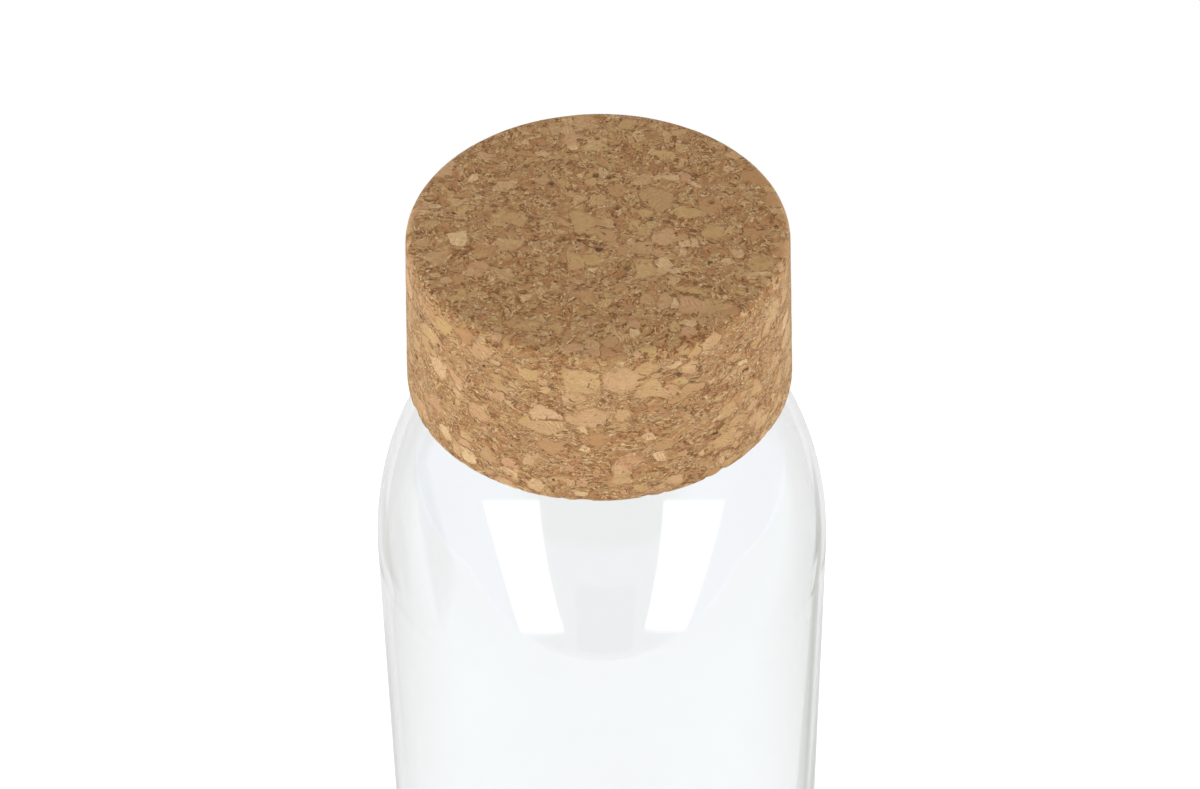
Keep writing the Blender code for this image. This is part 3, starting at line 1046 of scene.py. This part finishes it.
def add_slats(name, rows, material):
    """A flag on the table: slats over a plot with a far and a near row of a left and a right corner.

    Each slat starts on the table and leans up towards the camera, over the next one. A steep
    line of sight, like the photograph's, meets their faces and finds no gap; a low one meets
    only their clear backs.
    """
    far, near = (np.array(row) for row in rows)
    count = round(float(np.linalg.norm(far - near, axis=1).mean()) / SLAT_SPACING)
    start = np.arange(count) / count
    share = np.stack([start, start + SLAT_OVERLAP / count], axis=1)
    points = far * (1 - share[:, :, None, None]) + near * share[:, :, None, None]
    inwards, forwards = SLAT_LEAN
    points[:, 1] += SLAT_HEIGHT * np.array([-inwards * np.sign(far[0, 0]), -forwards, 1.0])
    corners = (4 * np.arange(count)[:, None] + np.array([2, 3, 1, 0])).reshape(-1)
    obj = surface(name, points.reshape(-1, 3), corners, np.full(count, 4), material)
    across = np.tile([0.0, 1.0, 1.0, 0.0], count)
    along = share[:, [1, 1, 0, 0]].reshape(-1)
    map_uv(obj, np.stack([across, along], axis=1))
    mirrored_only(obj)
    obj.visible_transmission, obj.visible_glossy = True, False


def add_lamp(name, centre, power):
    """A soft lamp that faces the lid and lights matt surfaces; cards stand for it in mirrors."""
    data = bpy.data.lights.new(f"{name} lamp", "AREA")
    data.shape, data.size, data.size_y = "RECTANGLE", LAMP_WIDTH, LAMP_HEIGHT
    data.energy, data.color = power, LAMP_COLOUR
    lamp = linked(f"{name} lamp", data)
    towards = Vector((0.0, 0.0, CORK_BOX[0].z)) - Vector(centre)
    facing = towards.to_track_quat("-Z", "Y").to_matrix().to_4x4()
    lamp.matrix_world = Matrix.Translation(centre) @ facing
    lamp.visible_camera = lamp.visible_glossy = lamp.visible_transmission = False


def table_material(look):
    """A pale matt table that fades into the white background, and keeps the shadow at the foot.

    The camera sees it lifted, and plain white from a ring round the foot outwards. Through glass it
    is white, and so it is in mirrors, apart from its front, which has the look's shine there. The
    front ends in a soft line across the bottle's middle, which slopes back at the far sides.
    """
    make = painted("table", look.table)
    place = make.place()
    grain = make.noise(place, 0.004, 3.0)["Fac"]
    pale = make.mix(grain * 0.04, look.table, scaled(look.table, 0.96))
    matt = make.add("BsdfDiffuse", {"Color": pale})["BSDF"]
    path = make.add("LightPath")
    lift = make.mix(path["Is Camera Ray"], (0.0, 0.0, 0.0), TABLE_LIFT)
    lifted = make.add("AddShader", [matt, make.glow(lift)])["Shader"]
    along = make.add("SeparateXYZ", [place])
    front = (along["Y"] - (along["X"].size() - FRONT_SIDE).most(0.0) * FRONT_SLOPE).rise(*TABLE_FRONT)
    mirrored = path["Glossy Depth"] > 0.5
    bright = make.mix(front * mirrored, WHITE, look.shine)
    away = make.add("VectorMath", [place], operation="LENGTH")["Value"]
    far = path["Is Camera Ray"] * away.rise(*TABLE_FADE)
    plain = path["Is Glossy Ray"].most(path["Is Transmission Ray"]).most(far)
    both = make.add("MixShader", [plain, lifted, make.glow(bright)])["Shader"]
    return make.output(both)


def light_world(look):
    """A white background to look at, through or into, which lights matt surfaces more softly."""
    world = bpy.data.worlds.new("studio")
    world.use_nodes = True
    bpy.context.scene.world = world
    make = Maker(world)
    path = make.add("LightPath")
    seen = path["Is Camera Ray"].most(path["Is Glossy Ray"]).most(path["Is Transmission Ray"])
    colour = make.mix(seen, (look.ambient,) * 3, WHITE)
    sky = make.add("Background", {"Color": colour})
    make.add("OutputWorld", {"Surface": sky["Background"]})


def add_camera(look):
    """The photograph's camera: over the lid's top, on the bottle's centre plane, looking down at it."""
    data = bpy.data.cameras.new("camera")
    data.sensor_width = 36.0
    data.sensor_fit = "HORIZONTAL"
    data.lens = look.focal_pixels * data.sensor_width / PHOTO_WIDTH
    data.clip_start, data.clip_end = 0.01, 20.0
    camera = linked("camera", data)
    back, up = (look.distance * turn(look.height_angle) for turn in (math.cos, math.sin))
    tilt = Matrix.Rotation(math.pi / 2 - look.pitch, 4, "X") @ Matrix.Rotation(look.roll, 4, "Z")
    camera.matrix_world = Matrix.Translation((0.0, -back, CORK_BOX[1].z + up)) @ tilt
    bpy.context.scene.camera = camera


class BOTTLE_OT_stage(bpy.types.Operator):
    """Makes the pale table, the white surroundings, the lamps, the camera and what glass mirrors"""

    bl_idname = "cork_bottle.stage"
    bl_label = "Stage"

    def execute(self, context):
        look = context.scene.bottle_stage
        x, y = np.meshgrid([-look.reach, look.reach], [-look.front, look.reach])
        points = np.stack([x, y, np.zeros_like(x)], axis=-1)[::-1]
        panel("table", points, table_material(look))
        for name, rows in SOFTBOXES.items():
            add_card(f"{name}_softbox", rows, card_material(f"{name} softbox", (look.glow,) * 3, 0.14))
        add_card("camera_card", CAMERA_CARD, card_material("camera card", CAMERA_CARD_LIGHT, 0.10))
        for name, (rows, light) in FLAGS.items():
            add_slats(f"{name}_flag", rows, card_material(f"{name} flag", light, 0.25, 0.0))
        for name, (centre, share) in LAMPS.items():
            add_lamp(name, centre, share * look.lamp)
        turns, tilts = np.linspace(-150, 150, 61), np.linspace(-60, 80, 29)
        around, above = np.meshgrid(np.radians(turns), np.radians(tilts))
        points = ROOM_RADIUS * np.stack(
            [np.sin(around) * np.cos(above), -np.cos(around) * np.cos(above), np.sin(above)], axis=-1
        )
        mirrored_only(panel("room", points, room_material(look)))
        light_world(look)
        add_camera(look)
        context.scene.view_settings.view_transform = "Standard"
        return {"FINISHED"}


class VIEW3D_PT_cork_bottle(bpy.types.Panel):
    """Lists the bottle's pieces and its stage"""

    bl_label = "Cork-lidded bottle"
    bl_space_type = "VIEW_3D"
    bl_region_type = "UI"
    bl_category = "Bottle"

    def draw(self, context):
        for operator in OPERATORS:
            self.layout.operator(operator.bl_idname)
        for name in LOOKS:
            box = self.layout.box()
            for key in getattr(context.scene, name).bl_rna.properties.keys():
                if key not in ("rna_type", "name"):
                    box.prop(getattr(context.scene, name), key)


LOOKS = {
    "bottle_glass": GlassLook,
    "bottle_thread": ThreadLook,
    "bottle_cork": CorkLook,
    "bottle_lid": LidLook,
    "bottle_stage": StageLook,
}
OPERATORS = (BOTTLE_OT_stage, BOTTLE_OT_glass, BOTTLE_OT_cork, BOTTLE_OT_insert, BOTTLE_OT_seal)


def register():
    for kind in (*LOOKS.values(), *OPERATORS, VIEW3D_PT_cork_bottle):
        bpy.utils.register_class(kind)
    for name, kind in LOOKS.items():
        setattr(bpy.types.Scene, name, PointerProperty(type=kind))


def unregister():
    for name in LOOKS:
        delattr(bpy.types.Scene, name)
    for kind in (VIEW3D_PT_cork_bottle, *OPERATORS, *LOOKS.values()):
        bpy.utils.unregister_class(kind)


def main():
    register()
    for operator in OPERATORS:
        group, name = operator.bl_idname.split(".")
        getattr(getattr(bpy.ops, group), name)()


if __name__ == "__main__":
    main()
